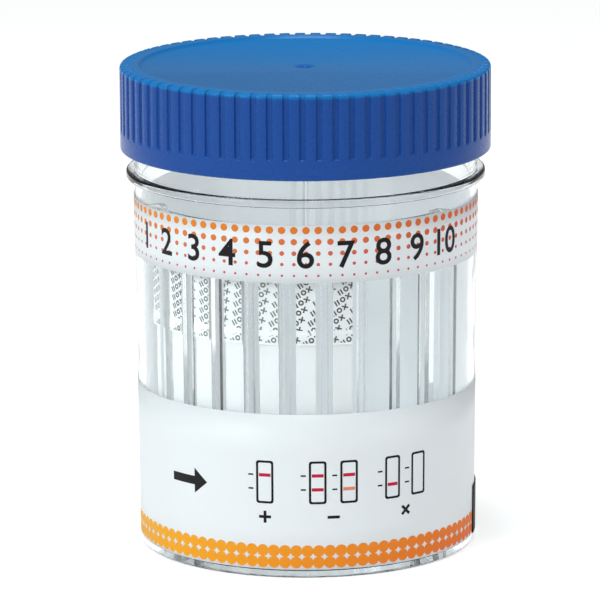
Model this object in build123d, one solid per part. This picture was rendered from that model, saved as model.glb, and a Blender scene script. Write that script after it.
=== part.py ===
from build123d import *

import os
from math import acos, asin, atan, cos, degrees, sin

# A screw-lid specimen cup with test strips behind its wall, closed, standing on its foot.
# Millimetres, +Z up, origin at the centre of the foot. Azimuth 0 faces the front, -Y, and grows
# towards +X. Every wall below the flange shares one draft angle.

# Cup wall and foot
CUP_FOOT_RADIUS = 31.5
CUP_SHOULDER_RADIUS = 32.2
SHOULDER_HEIGHT = 70.1
CUP_WALL = 1.2
CUP_FLOOR = 1.4
FOOT_RECESS = 0.9
FOOT_RING_WIDTH = 2.4
FOOT_BEVEL = 0.5
FLOOR_BEVEL = 0.7

# Flange and neck
FLANGE_REACH = 1.55
FLANGE_THICKNESS = 1.5
FLANGE_BEVEL = 0.3
NECK_HEIGHT = 16.8
RIM_BEVEL = 0.2

# Screw thread, right-handed, one start
THREAD_PITCH = 4.2
THREAD_DEPTH = 0.85
THREAD_ROOT_WIDTH = 2.0
THREAD_CREST_WIDTH = 0.9
THREAD_CREST_GAP = 0.4
THREAD_FLANK_GAP = 0.3
THREAD_SINK = 0.3
NECK_THREAD_RISE = 6.3
NECK_THREAD_TURNS = 1.5
LID_THREAD_ENTRY = 0.3
LID_THREAD_TURNS = 0.95

# Lid
LID_SKIRT_WALL = 1.3
LID_PLATE = 1.2
LID_FOOT_GAP = 3.8
LID_TOP_BEVEL = 0.45
LID_FOOT_BEVEL = 0.25
LID_RING_RISE = 0.6
LID_RING_WIDTH = 3.65
RECESS_SLOPE = 0.35
GATE_RADIUS = 2.15
GATE_DEPTH = 0.5
GATE_NUB_RADIUS = 0.45
GATE_NUB_HEIGHT = 0.4
GATE_NUB_SINK = 0.2

# Grip flutes round the lid
FLUTE_COUNT = 72
FLUTE_DEPTH = 0.42
FLUTE_MOUTH_WIDTH = 1.3
FLUTE_FLOOR_WIDTH = 0.8
FLUTE_BAND = 3.7
FLUTE_PHASE = -0.9
NOTCH_DEPTH = 0.42
NOTCH_LENGTH = 2.35

# Foam liner in the lid, held by a bead
SEAL_THICKNESS = 1.0
SEAL_SIDE_GAP = 0.15
SEAL_SEAT_GAP = 0.1
SEAL_BEAD = 0.45

# Strip carrier
CHANNEL_COUNT = 10
CHANNEL_PITCH = 13.15
FIRST_CHANNEL = -66.0
CHANNEL_DEPTH = 1.7
CARRIER_PLATE = 0.8
CARRIER_GAP = 0.15
CARRIER_LIFT = 0.05
CARRIER_HEADROOM = 4.05
RIB_WIDTH = 1.1
RIB_HEAD_LENGTH = 7.0
LEDGE_HEIGHT = 1.3
LEDGE_DEPTH = 0.3

# Rails in the cup that hook round the carrier's side edges
RAIL_THICKNESS = 1.0
RAIL_LIP = 2.0

# Test strips, laid up on a backing card
STRIP_COUNT = 7
STRIP_WIDTH = 3.6
STRIP_SIDE_GAP = 0.1
STRIP_FOOT_GAP = 0.1
STRIP_TOP_GAP = 1.6
CARD_THICKNESS = 0.3
MEMBRANE_THICKNESS = 0.15
CONJUGATE_THICKNESS = 0.3
SAMPLE_THICKNESS = 0.5
ABSORBENT_THICKNESS = 0.5
TAPE_THICKNESS = 0.1
SAMPLE_END = 12.5
CONJUGATE_END = 18.5
MEMBRANE_END = 41.5
PAD_LAP = 2.0
PAD_RAMP = 0.8
TAPE_SETBACK = 0.3

# Wraparound label, die-cut with one window
LABEL_THICKNESS = 0.15
LABEL_GLUE = 0.05
LABEL_FOOT = 1.7
LABEL_HEADROOM = 3.3
LABEL_TOP_BAND = 10.8
WINDOW_FOOT = 31.2
WINDOW_HALF_ANGLE = 93.0
WINDOW_CORNER = 3.0
LABEL_SEAM = 0.1

# Temperature strip stuck on the label
THERMO_THICKNESS = 0.2
THERMO_GLUE = 0.05
THERMO_HEIGHT = 9.3
THERMO_LENGTH = 38.0
THERMO_START = 79.0
THERMO_LIFT = 0.1

# Places worked out from the sizes above
DRAFT = atan((CUP_SHOULDER_RADIUS - CUP_FOOT_RADIUS) / SHOULDER_HEIGHT)
FLOOR_TOP = FOOT_RECESS + CUP_FLOOR
FLANGE_RADIUS = CUP_SHOULDER_RADIUS + FLANGE_REACH
FLANGE_TOP = SHOULDER_HEIGHT + FLANGE_THICKNESS
RIM = FLANGE_TOP + NECK_HEIGHT
NECK_BORE = CUP_SHOULDER_RADIUS - CUP_WALL
NECK_THREAD_START = FLANGE_TOP + NECK_THREAD_RISE
FLANK_SLOPE = (THREAD_ROOT_WIDTH - THREAD_CREST_WIDTH) / 2 / THREAD_DEPTH
LID_BORE = CUP_SHOULDER_RADIUS + THREAD_DEPTH + THREAD_CREST_GAP
LID_RADIUS = LID_BORE + LID_SKIRT_WALL
LID_FOOT = FLANGE_TOP + LID_FOOT_GAP
SEAL_FOOT = RIM + SEAL_SEAT_GAP
LID_UNDERSIDE = SEAL_FOOT + SEAL_THICKNESS
LID_DISC = LID_UNDERSIDE + LID_PLATE
LID_TOP = LID_DISC + LID_RING_RISE
CARRIER_FOOT = FLOOR_TOP + FLOOR_BEVEL + CARRIER_LIFT
CARRIER_TOP = SHOULDER_HEIGHT - CARRIER_HEADROOM
STRIP_FOOT = CARRIER_FOOT + LEDGE_HEIGHT + STRIP_FOOT_GAP
STRIP_LENGTH = CARRIER_TOP - STRIP_TOP_GAP - STRIP_FOOT
LABEL_TOP = SHOULDER_HEIGHT - LABEL_HEADROOM
WINDOW_TOP = LABEL_TOP - LABEL_TOP_BAND
CUT_MARGIN = 2.0


def wall_radius(height, outward):
    """Radius at a height, outward of the cup's outer wall or, if negative, inward of it."""
    slope = (CUP_SHOULDER_RADIUS - CUP_FOOT_RADIUS) / SHOULDER_HEIGHT
    return CUP_FOOT_RADIUS + slope * height + outward / cos(DRAFT)


def arc_angle(width, radius):
    """Angle in degrees that a width takes at a radius."""
    return 2 * degrees(asin(width / 2 / radius))


def turned_to(azimuth):
    """Turn that brings what is drawn along +X to an azimuth."""
    return Rot(0, 0, azimuth - 90)


def outline(*points):
    """Closed face in the plane of radius and height."""
    return make_face(Polyline(*points, close=True))


def revolved(face, angle=360.0, azimuth=0.0):
    """Solid of revolution of a face of radius and height, centred on an azimuth."""
    return turned_to(azimuth - angle / 2) * revolve(Plane.XZ * face, Axis.Z, angle)


def shell(inner, outer, foot, top, angle, azimuth):
    """Sector of a drafted shell between two distances outward of the cup's outer wall."""
    face = outline(
        (wall_radius(foot, inner), foot),
        (wall_radius(foot, outer), foot),
        (wall_radius(top, outer), top),
        (wall_radius(top, inner), top),
    )
    return revolved(face, angle, azimuth)


def thread(root_radius, crest_radius, start_height, turns, start_azimuth):
    """Right-handed helical ridge of trapezoid section, sunk a little into its wall."""
    sink = THREAD_SINK if crest_radius < root_radius else -THREAD_SINK
    half_sunk = THREAD_ROOT_WIDTH / 2 + FLANK_SLOPE * THREAD_SINK
    half_crest = THREAD_CREST_WIDTH / 2
    section = outline(
        (root_radius + sink, -half_sunk),
        (crest_radius, -half_crest),
        (crest_radius, half_crest),
        (root_radius + sink, half_sunk),
    )
    path = Helix(pitch=THREAD_PITCH, height=THREAD_PITCH * turns, radius=root_radius)
    ridge = sweep(Plane.XZ * section, path=path, is_frenet=True)
    for side, turned in ((-1, 0), (1, turns)):
        trim = run_out(root_radius, crest_radius, side)
        ridge -= Pos(0, 0, THREAD_PITCH * turned) * Rot(0, 0, 360 * turned) * trim
    return Pos(0, 0, start_height) * turned_to(start_azimuth) * ridge


def run_out(root_radius, crest_radius, side):
    """Block that trims a thread's end at +X to a flat ramp, side being 1 at its upper end."""
    inner, outer = sorted((root_radius, crest_radius))
    ramp = acos(inner / outer)
    depth = 2 * THREAD_DEPTH
    height = 2 * THREAD_ROOT_WIDTH
    length = outer * sin(ramp)
    if crest_radius > root_radius:
        return Pos(root_radius + depth / 2, 0, 0) * Box(depth, 2 * length, height)
    block = Pos(crest_radius - depth / 2, side * length / 2, 0) * Box(depth, length, height)
    return Rot(0, 0, -side * degrees(ramp)) * block


def bevelled(face, corners, length):
    """The face with the corners nearest to the given points cut off."""
    picked = [face.vertices().sort_by_distance((*corner, 0))[0] for corner in corners]
    return chamfer(picked, length)


def make_cup():
    """Cup with its foot ring, flange, threaded neck and the rails for the strip carrier."""
    ring_inner = CUP_FOOT_RADIUS - FOOT_RING_WIDTH
    floor_corner = (wall_radius(FLOOR_TOP, -CUP_WALL), FLOOR_TOP)
    face = outline(
        (0, FOOT_RECESS),
        (ring_inner - FOOT_RECESS, FOOT_RECESS),
        (ring_inner, 0),
        (CUP_FOOT_RADIUS, 0),
        (CUP_SHOULDER_RADIUS, SHOULDER_HEIGHT),
        (FLANGE_RADIUS, SHOULDER_HEIGHT),
        (FLANGE_RADIUS, FLANGE_TOP),
        (CUP_SHOULDER_RADIUS, FLANGE_TOP),
        (CUP_SHOULDER_RADIUS, RIM),
        (NECK_BORE, RIM),
        (NECK_BORE, SHOULDER_HEIGHT),
        floor_corner,
        (0, FLOOR_TOP),
    )
    face = bevelled(face, [(CUP_FOOT_RADIUS, 0)], FOOT_BEVEL)
    face = bevelled(face, [floor_corner], FLOOR_BEVEL)
    flange_corners = [(FLANGE_RADIUS, SHOULDER_HEIGHT), (FLANGE_RADIUS, FLANGE_TOP)]
    face = bevelled(face, flange_corners, FLANGE_BEVEL)
    face = bevelled(face, [(CUP_SHOULDER_RADIUS, RIM), (NECK_BORE, RIM)], RIM_BEVEL)
    crest = CUP_SHOULDER_RADIUS + THREAD_DEPTH
    cup = revolved(face)
    cup += thread(CUP_SHOULDER_RADIUS, crest, NECK_THREAD_START, NECK_THREAD_TURNS, 0)
    for rail in make_rails():
        cup += rail
    return cup


def make_rails():
    """Two L-shaped rails, each a fin and a lip, from the floor to the carrier's top."""
    lip_face = -(CUP_WALL + CARRIER_GAP + CHANNEL_DEPTH + CARRIER_PLATE + CARRIER_GAP)
    fin_face = lip_face - RAIL_THICKNESS
    foot = FLOOR_TOP - CUP_FLOOR / 2
    radius = wall_radius(foot, lip_face)
    gap = arc_angle(CARRIER_GAP, radius)
    fin = arc_angle(RAIL_THICKNESS, radius)
    lip = arc_angle(RAIL_LIP, radius)
    first, last = carrier_span()
    pieces = []
    for edge, side in ((first, -1), (last, 1)):
        fin_azimuth = edge + side * (gap + fin / 2)
        lip_azimuth = edge + side * (gap + fin - lip) / 2
        pieces.append(shell(fin_face, -CUP_WALL / 2, foot, CARRIER_TOP, fin, fin_azimuth))
        pieces.append(shell(fin_face, lip_face, foot, CARRIER_TOP, fin + gap + lip, lip_azimuth))
    return pieces


def carrier_span():
    """First and last azimuth of the strip carrier, at the outer sides of its end ribs."""
    rib = arc_angle(RIB_WIDTH, channel_floor_radius())
    first = FIRST_CHANNEL - CHANNEL_PITCH / 2 - rib / 2
    last = FIRST_CHANNEL + CHANNEL_PITCH * (CHANNEL_COUNT - 0.5) + rib / 2
    return first, last


def channel_floor_radius():
    """Radius of the channels' floor at the foot of the strips."""
    return wall_radius(STRIP_FOOT, -(CUP_WALL + CARRIER_GAP + CHANNEL_DEPTH))


def channel_azimuth(number):
    return FIRST_CHANNEL + CHANNEL_PITCH * number


def make_strip_carrier():
    """Curved plate with ribs on its outer side, wide at both ends where they grip the strips."""
    rib_face = -(CUP_WALL + CARRIER_GAP)
    channel_floor = rib_face - CHANNEL_DEPTH
    back = channel_floor - CARRIER_PLATE
    middle_of_plate = channel_floor - CARRIER_PLATE / 2
    first, last = carrier_span()
    span = last - first
    centre = (first + last) / 2
    radius = channel_floor_radius()
    rib = arc_angle(RIB_WIDTH, radius)
    head = CHANNEL_PITCH - arc_angle(STRIP_WIDTH + 2 * STRIP_SIDE_GAP, radius)
    carrier = shell(back, channel_floor, CARRIER_FOOT, CARRIER_TOP, span, centre)
    ledge_top = CARRIER_FOOT + LEDGE_HEIGHT
    carrier += shell(middle_of_plate, channel_floor + LEDGE_DEPTH, CARRIER_FOOT, ledge_top, span, centre)
    for number in range(CHANNEL_COUNT + 1):
        azimuth = channel_azimuth(number - 0.5)
        carrier += shell(middle_of_plate, rib_face, CARRIER_FOOT, CARRIER_TOP, rib, azimuth)
        wide, wide_azimuth = head, azimuth
        if number in (0, CHANNEL_COUNT):
            inward = 1 if number == 0 else -1
            wide = (head + rib) / 2
            wide_azimuth = azimuth + inward * (head - rib) / 4
        for foot in (CARRIER_FOOT, CARRIER_TOP - RIB_HEAD_LENGTH):
            top = foot + RIB_HEAD_LENGTH
            carrier += shell(middle_of_plate, rib_face, foot, top, wide, wide_azimuth)
    return carrier


def layer(underside, thickness):
    """Strip layer whose underside follows points of (distance up the strip, height off the card)."""
    lower = [(off, along) for along, off in underside]
    upper = [(off + thickness, along) for along, off in reversed(underside)]
    face = outline(*lower, *upper)
    return extrude(Plane.XZ * face, STRIP_WIDTH / 2, both=True)


def make_strip_layers():
    """The six layers of one test strip, laid flat along Z with the reading side towards +X."""
    on_card = CARD_THICKNESS
    on_membrane = CARD_THICKNESS + MEMBRANE_THICKNESS
    on_conjugate = CARD_THICKNESS + CONJUGATE_THICKNESS
    conjugate_start = SAMPLE_END - PAD_LAP
    membrane_start = CONJUGATE_END - PAD_LAP
    absorbent_start = MEMBRANE_END - PAD_LAP
    sample = [
        (0, on_card),
        (conjugate_start - PAD_RAMP, on_card),
        (conjugate_start, on_conjugate),
        (SAMPLE_END, on_conjugate),
    ]
    conjugate = [
        (conjugate_start, on_card),
        (membrane_start - PAD_RAMP, on_card),
        (membrane_start, on_membrane),
        (CONJUGATE_END, on_membrane),
    ]
    absorbent = [
        (absorbent_start, on_membrane),
        (MEMBRANE_END, on_membrane),
        (MEMBRANE_END + PAD_RAMP, on_card),
        (STRIP_LENGTH, on_card),
    ]
    tape = [(along, off + ABSORBENT_THICKNESS) for along, off in absorbent]
    tape[0] = (absorbent_start + TAPE_SETBACK, tape[0][1])
    return {
        "backing_card": layer([(0, 0), (STRIP_LENGTH, 0)], CARD_THICKNESS),
        "sample_pad": layer(sample, SAMPLE_THICKNESS),
        "conjugate_pad": layer(conjugate, CONJUGATE_THICKNESS),
        "membrane": layer([(membrane_start, on_card), (MEMBRANE_END, on_card)], MEMBRANE_THICKNESS),
        "absorbent_pad": layer(absorbent, ABSORBENT_THICKNESS),
        "cover_tape": layer(tape, TAPE_THICKNESS),
    }


def make_strips():
    """All strips in their channels, leaning with the draft of the wall, by node name."""
    layers = make_strip_layers()
    lean = Pos(channel_floor_radius(), 0, STRIP_FOOT) * Rot(0, degrees(DRAFT), 0)
    nodes = {}
    for number in range(STRIP_COUNT):
        place = turned_to(channel_azimuth(number)) * lean
        for name, solid in layers.items():
            nodes[f"strip_{number + 1}_{name}"] = place * solid
    return nodes


def make_lid():
    """Screw lid with its internal thread, liner bead, recessed top, gate mark and grip flutes."""
    bead_top = SEAL_FOOT - SEAL_SEAT_GAP
    recess_radius = LID_RADIUS - LID_RING_WIDTH
    face = outline(
        (0, LID_UNDERSIDE),
        (LID_BORE, LID_UNDERSIDE),
        (LID_BORE, bead_top),
        (LID_BORE - SEAL_BEAD, bead_top - SEAL_BEAD),
        (LID_BORE, bead_top - 2 * SEAL_BEAD),
        (LID_BORE, LID_FOOT),
        (LID_RADIUS, LID_FOOT),
        (LID_RADIUS, LID_TOP),
        (recess_radius, LID_TOP),
        (recess_radius - RECESS_SLOPE, LID_DISC),
        (0, LID_DISC),
    )
    face = bevelled(face, [(LID_RADIUS, LID_TOP)], LID_TOP_BEVEL)
    face = bevelled(face, [(LID_RADIUS, LID_FOOT), (LID_BORE, LID_FOOT)], LID_FOOT_BEVEL)
    lid = revolved(face)
    lid -= make_flutes()
    lid -= make_gate_dimple()
    nub = extrude(Circle(GATE_NUB_RADIUS), GATE_NUB_SINK + GATE_NUB_HEIGHT)
    lid += Pos(0, 0, LID_DISC - GATE_DEPTH - GATE_NUB_SINK) * nub
    start = NECK_THREAD_START + THREAD_PITCH * LID_THREAD_ENTRY - thread_lag()
    crest = LID_BORE - THREAD_DEPTH
    lid += thread(LID_BORE, crest, start, LID_THREAD_TURNS, 360 * LID_THREAD_ENTRY)
    return lid


def thread_lag():
    """How far the lid's thread lies under the neck's, with both flanks a gap apart."""
    return THREAD_ROOT_WIDTH - FLANK_SLOPE * (LID_BORE - CUP_SHOULDER_RADIUS) + THREAD_FLANK_GAP


def make_gate_dimple():
    """Shallow spherical hollow where the plastic was injected."""
    ball_radius = (GATE_RADIUS**2 + GATE_DEPTH**2) / (2 * GATE_DEPTH)
    return Pos(0, 0, LID_DISC + ball_radius - GATE_DEPTH) * Sphere(ball_radius)


def make_flutes():
    """Grip flutes: each runs up the skirt and over the top edge as a notch that dies out inward."""
    floor_radius = LID_RADIUS - FLUTE_DEPTH
    notch_inner = LID_RADIUS - NOTCH_LENGTH
    beyond = LID_RADIUS + CUT_MARGIN
    foot = LID_FOOT + FLUTE_BAND
    above = LID_TOP + CUT_MARGIN
    half_floor = FLUTE_FLOOR_WIDTH / 2
    widening = (FLUTE_MOUTH_WIDTH - FLUTE_FLOOR_WIDTH) / 2 / FLUTE_DEPTH
    half_beyond = half_floor + widening * (beyond - floor_radius)
    side = outline(
        (floor_radius, foot + FLUTE_DEPTH),
        (beyond, foot - CUT_MARGIN),
        (beyond, above),
        (notch_inner - CUT_MARGIN, above),
        (notch_inner, LID_TOP),
        (floor_radius, LID_TOP - NOTCH_DEPTH),
    )
    plan = make_face(
        Polyline(
            (notch_inner - CUT_MARGIN, -half_floor),
            (floor_radius, -half_floor),
            (beyond, -half_beyond),
            (beyond, half_beyond),
            (floor_radius, half_floor),
            (notch_inner - CUT_MARGIN, half_floor),
            close=True,
        )
    )
    flute = extrude(Plane.XZ * side, half_beyond, both=True)
    flute &= Pos(0, 0, LID_FOOT) * extrude(plan, above - LID_FOOT)
    step = 360 / FLUTE_COUNT
    return [turned_to(FLUTE_PHASE + step * number) * flute for number in range(FLUTE_COUNT)]


def make_lid_seal():
    """Flat liner disc between the lid's plate and the cup's rim."""
    return Pos(0, 0, SEAL_FOOT) * extrude(Circle(LID_BORE - SEAL_SIDE_GAP), SEAL_THICKNESS)


def make_label():
    """Conical label with one wide window, its two ends meeting in a seam at the back."""
    face = LABEL_GLUE + LABEL_THICKNESS
    seam = arc_angle(LABEL_SEAM, wall_radius(LABEL_FOOT, face))
    label = shell(LABEL_GLUE, face, LABEL_FOOT, LABEL_TOP, 360 - seam, 0)
    radius = wall_radius(WINDOW_FOOT, face)
    corner_angle = degrees(WINDOW_CORNER / radius)
    inner, outer = LABEL_GLUE - CUT_MARGIN, face + CUT_MARGIN
    straight = 2 * (WINDOW_HALF_ANGLE - corner_angle)
    low, high = WINDOW_FOOT + WINDOW_CORNER, WINDOW_TOP - WINDOW_CORNER
    label -= shell(inner, outer, WINDOW_FOOT, WINDOW_TOP, straight, 0)
    label -= shell(inner, outer, low, high, 2 * WINDOW_HALF_ANGLE, 0)
    corner = Rot(0, 90, 0) * Cylinder(WINDOW_CORNER, 2 * CUT_MARGIN)
    for azimuth in (-straight / 2, straight / 2):
        for height in (low, high):
            label -= turned_to(azimuth) * Pos(radius, 0, height) * corner
    return label


def make_thermometer_strip():
    """Temperature strip on the label's lower edge, at the right of the front."""
    inner = LABEL_GLUE + LABEL_THICKNESS + THERMO_GLUE
    foot = LABEL_FOOT + THERMO_LIFT
    angle = degrees(THERMO_LENGTH / wall_radius(foot, inner))
    azimuth = THERMO_START + angle / 2
    return shell(inner, inner + THERMO_THICKNESS, foot, foot + THERMO_HEIGHT, angle, azimuth)


def make_nodes():
    """Every piece of the kit by node name."""
    nodes = {
        "cup": make_cup(),
        "lid": make_lid(),
        "lid_seal": make_lid_seal(),
        "strip_carrier": make_strip_carrier(),
        "label": make_label(),
        "thermometer_strip": make_thermometer_strip(),
    }
    nodes.update(make_strips())
    return nodes


os.makedirs("parts", exist_ok=True)
for node_name, solid in make_nodes().items():
    export_step(solid, f"parts/{node_name}.step")
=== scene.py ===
from math import acos, asin, atan, ceil, cos, degrees, pi, radians, sin

import bmesh
import bpy
import numpy as np
from mathutils import Matrix, Vector


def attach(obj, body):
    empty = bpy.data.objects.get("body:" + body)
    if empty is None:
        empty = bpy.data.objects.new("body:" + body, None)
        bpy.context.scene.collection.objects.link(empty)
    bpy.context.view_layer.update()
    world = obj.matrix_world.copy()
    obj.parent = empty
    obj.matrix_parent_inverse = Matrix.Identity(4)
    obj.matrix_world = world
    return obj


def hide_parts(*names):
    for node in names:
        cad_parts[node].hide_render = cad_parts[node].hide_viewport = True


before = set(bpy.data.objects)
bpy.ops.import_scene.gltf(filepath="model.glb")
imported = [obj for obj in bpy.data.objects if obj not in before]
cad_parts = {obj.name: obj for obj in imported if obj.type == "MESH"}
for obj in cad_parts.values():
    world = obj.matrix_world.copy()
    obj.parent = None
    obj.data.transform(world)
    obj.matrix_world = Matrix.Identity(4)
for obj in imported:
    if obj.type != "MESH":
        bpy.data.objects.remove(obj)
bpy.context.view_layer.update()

# A screw-lid specimen cup with test strips behind its wall. Sizes are in millimetres, and MM turns
# them into the frame's metres. Azimuth 0 faces the front, -Y, and grows towards +X.

MM = 0.001

# Cup
FOOT_RADIUS = 31.5
SHOULDER_RADIUS = 32.2
SHOULDER = 70.1
WALL = 1.2
FOOT_RECESS = 0.9
FOOT_RING = 2.4
FLOOR_TOP = 2.3
FOOT_ROUND = 0.7
FLANGE_RADIUS = 33.75
FLANGE_TOP = 71.6
FLANGE_ROUND = 0.45
RIM = 88.4
RIM_ROUND = 0.35

# Screw thread
PITCH = 4.2
THREAD_DEPTH = 0.85
THREAD_ROOT_WIDTH = 2.0
THREAD_CREST_WIDTH = 0.9
THREAD_START = 77.9
THREAD_TURNS = 1.5
LID_THREAD_START = 77.67
LID_THREAD_AZIMUTH = 108.0
LID_THREAD_TURNS = 0.95

# Lid
LID_RADIUS = 34.75
LID_BORE = 33.45
LID_FOOT = 75.4
LID_UNDERSIDE = 89.5
LID_DISC = 90.7
LID_TOP = 91.3
LID_TOP_ROUND = 0.65
LID_FOOT_ROUND = 0.35
LID_RING_WIDTH = 3.65
RECESS_SLOPE = 0.35
RECESS_ROUND = 0.18
FLUTES = 72
FLUTE_DEPTH = 0.42
FLUTE_MOUTH = 1.3
FLUTE_FLOOR = 0.8
FLUTE_BAND = 3.7
FLUTE_PHASE = -0.9
NOTCH_DEPTH = 0.42
NOTCH_LENGTH = 2.35
GATE_RADIUS = 2.15
GATE_DEPTH = 0.5
GATE_NUB_RADIUS = 0.45
GATE_NUB_HEIGHT = 0.4

# Strip carrier and the rails that hold it
CHANNELS = 10
CHANNEL_PITCH = 13.15
FIRST_CHANNEL = -66.0
CHANNEL_DEPTH = 1.7
CARRIER_PLATE = 0.8
CARRIER_GAP = 0.15
CARRIER_FOOT = 3.05
CARRIER_TOP = 66.05
RIB_WIDTH = 1.1
RIB_HEAD = 7.0
STRIP_WIDTH = 3.6
STRIP_SLOT = 3.8
STRIPS = 7
RAIL = 1.0
RAIL_LIP = 2.0

# Label, temperature strip and what is printed on them
LABEL_GLUE = 0.05
LABEL_THICKNESS = 0.15
LABEL_FOOT = 1.7
LABEL_TOP = 66.8
WINDOW_FOOT = 31.2
WINDOW_TOP = 56.0
WINDOW_HALF_ANGLE = 93.0
WINDOW_CORNER = 3.0
LABEL_HALF_ANGLE = 179.9
THERMO_START = 79.0
THERMO_FOOT = 1.8
THERMO_HEIGHT = 9.3
THERMO_LENGTH = 38.0
THERMO_THICKNESS = 0.2
THERMO_GLUE = 0.05
INK_LIFT = 0.004
INK_THICKNESS = 0.012

DRAFT = (SHOULDER_RADIUS - FOOT_RADIUS) / SHOULDER
LABEL_FACE = LABEL_GLUE + LABEL_THICKNESS


# Shape helpers

SHARP = 35.0


def wall_radius(height, outward=0.0):
    """Radius at a height, outward of the cup's outer wall or, if negative, inward of it."""
    return FOOT_RADIUS + DRAFT * height + outward


def arc(centre, radius, start, end, steps):
    """Points of (radius, height) round a centre, both ends included."""
    turns = np.radians(np.linspace(start, end, steps + 1))
    return [(centre[0] + radius * cos(t), centre[1] + radius * sin(t)) for t in turns]


def place(azimuth, radius, height):
    """Point in metres from an azimuth in degrees, a radius and a height in millimetres."""
    turn = radians(azimuth)
    return (radius * sin(turn) * MM, -radius * cos(turn) * MM, height * MM)


def linked(name, data):
    """Object with this data, in the scene."""
    piece = bpy.data.objects.new(name, data)
    bpy.context.scene.collection.objects.link(piece)
    return piece


def new_object(name, vertices, faces, materials, body="cup", sharp=SHARP, replaces=()):
    """Mesh object with smooth shading up to a sharp angle, riding on a body."""
    mesh = bpy.data.meshes.new(name)
    mesh.from_pydata([tuple(v) for v in vertices], [], [tuple(f) for f in faces])
    mesh.validate()
    piece = linked(name, mesh)
    finish_mesh(mesh, materials, sharp)
    settle(piece, body, replaces)
    return piece


def finish_mesh(mesh, materials, sharp):
    """Gives a mesh its materials, and smooth shading up to a sharp angle in degrees."""
    for material in materials:
        mesh.materials.append(material)
    mesh.shade_smooth()
    mesh.set_sharp_from_angle(angle=radians(sharp))
    mesh.update()


def settle(piece, body, replaces=()):
    """Rides a piece on a body, and hides the nodes it replaces."""
    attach(piece, body)
    if replaces:
        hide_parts(*replaces)


def turned_mesh(rows, azimuths, bend=None):
    """Vertices and faces of a surface of revolution from (radius, height) rows.

    A row of radius 0 becomes one point. bend, where given, maps (azimuths, radius, height) to the
    radii and heights of that row's points.
    """
    vertices = []
    rings = []
    for radius, height in rows:
        start = len(vertices)
        if radius == 0:
            vertices.append((0.0, 0.0, height * MM))
            rings.append([start])
            continue
        if bend:
            radii, heights = bend(azimuths, radius, height)
        else:
            radii, heights = np.full(len(azimuths), radius), np.full(len(azimuths), height)
        for azimuth, r, z in zip(azimuths, radii, heights):
            vertices.append(place(azimuth, r, z))
        rings.append(list(range(start, len(vertices))))
    faces = []
    count = len(azimuths)
    for low, high in zip(rings, rings[1:]):
        for i in range(count):
            j = (i + 1) % count
            if len(low) == 1:
                faces.append((low[0], high[j], high[i]))
            elif len(high) == 1:
                faces.append((low[i], low[j], high[0]))
            else:
                faces.append((low[i], low[j], high[j], high[i]))
    return vertices, faces


def lofted_mesh(levels):
    """Closed mesh through levels of (height, loop), each loop of (azimuth, outward distance)."""
    vertices = []
    count = len(levels[0][1])
    for height, loop in levels:
        for azimuth, outward in loop:
            vertices.append(place(azimuth, wall_radius(height, outward), height))
    faces = []
    for level in range(len(levels) - 1):
        base = level * count
        for i in range(count):
            j = (i + 1) % count
            faces.append((base + i, base + j, base + count + j, base + count + i))
    top = (len(levels) - 1) * count
    faces.append(tuple(reversed(range(count))))
    faces.append(tuple(range(top, top + count)))
    return vertices, faces


def arc_degrees(width, radius):
    """Angle that a chord of this width takes up."""
    return 2 * degrees(asin(width / 2 / radius))


def ramp(value, low, high):
    """0 below low, 1 above high, smooth between."""
    t = np.clip((value - low) / (high - low), 0, 1)
    return t * t * (3 - 2 * t)


# Materials

GRAIN = 900.0
GRAIN_BUMP = 0.01
INK_SPECULAR = 0.15


def new_material(name):
    """Material with its nodes, its links and its main shader."""
    material = bpy.data.materials.new(name)
    material.use_nodes = True
    nodes = material.node_tree.nodes
    return material, nodes, material.node_tree.links, nodes["Principled BSDF"]


def add_noise(nodes, links, scale, detail):
    """Noise over the object's own coordinates, in cells of about 1/scale metres."""
    noise = nodes.new("ShaderNodeTexNoise")
    noise.inputs["Scale"].default_value = scale
    noise.inputs["Detail"].default_value = detail
    source = nodes.new("ShaderNodeTexCoord")
    links.new(source.outputs["Object"], noise.inputs["Vector"])
    return noise.outputs["Fac"]


def split_place(nodes, links):
    """The object's own X, Y and Z, as the outputs of one node."""
    source = nodes.new("ShaderNodeTexCoord")
    split = nodes.new("ShaderNodeSeparateXYZ")
    links.new(source.outputs["Object"], split.inputs[0])
    return split.outputs


def climb(nodes, links, socket, start, end):
    """0 to 1 between two places, given in millimetres."""
    step = nodes.new("ShaderNodeMapRange")
    step.inputs["From Min"].default_value = start * MM
    step.inputs["From Max"].default_value = end * MM
    links.new(socket, step.inputs["Value"])
    return step.outputs["Result"]


def spread(nodes, links, source, low, high):
    """Maps a texture's 0.3 to 0.7 onto low to high."""
    step = nodes.new("ShaderNodeMapRange")
    step.inputs["From Min"].default_value = 0.3
    step.inputs["From Max"].default_value = 0.7
    step.inputs["To Min"].default_value = low
    step.inputs["To Max"].default_value = high
    links.new(source, step.inputs["Value"])
    return step.outputs["Result"]


def uneven(nodes, links, shader, grain, roughness):
    """Roughness that wanders a tenth either way."""
    gloss = spread(nodes, links, grain, roughness * 0.9, roughness * 1.1)
    links.new(gloss, shader.inputs["Roughness"])


def tint(nodes, links, factor, first, second):
    """Mix of two colours by a factor socket."""
    mix = nodes.new("ShaderNodeMix")
    mix.data_type = "RGBA"
    mix.inputs["A"].default_value = (*first, 1)
    mix.inputs["B"].default_value = (*second, 1)
    links.new(factor, mix.inputs["Factor"])
    return mix.outputs["Result"]


def add_bump(nodes, links, shader, height, strength, distance):
    """Bump of a height socket on a shader."""
    bump = nodes.new("ShaderNodeBump")
    bump.inputs["Strength"].default_value = strength
    bump.inputs["Distance"].default_value = distance
    links.new(height, bump.inputs["Height"])
    links.new(bump.outputs["Normal"], shader.inputs["Normal"])


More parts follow.
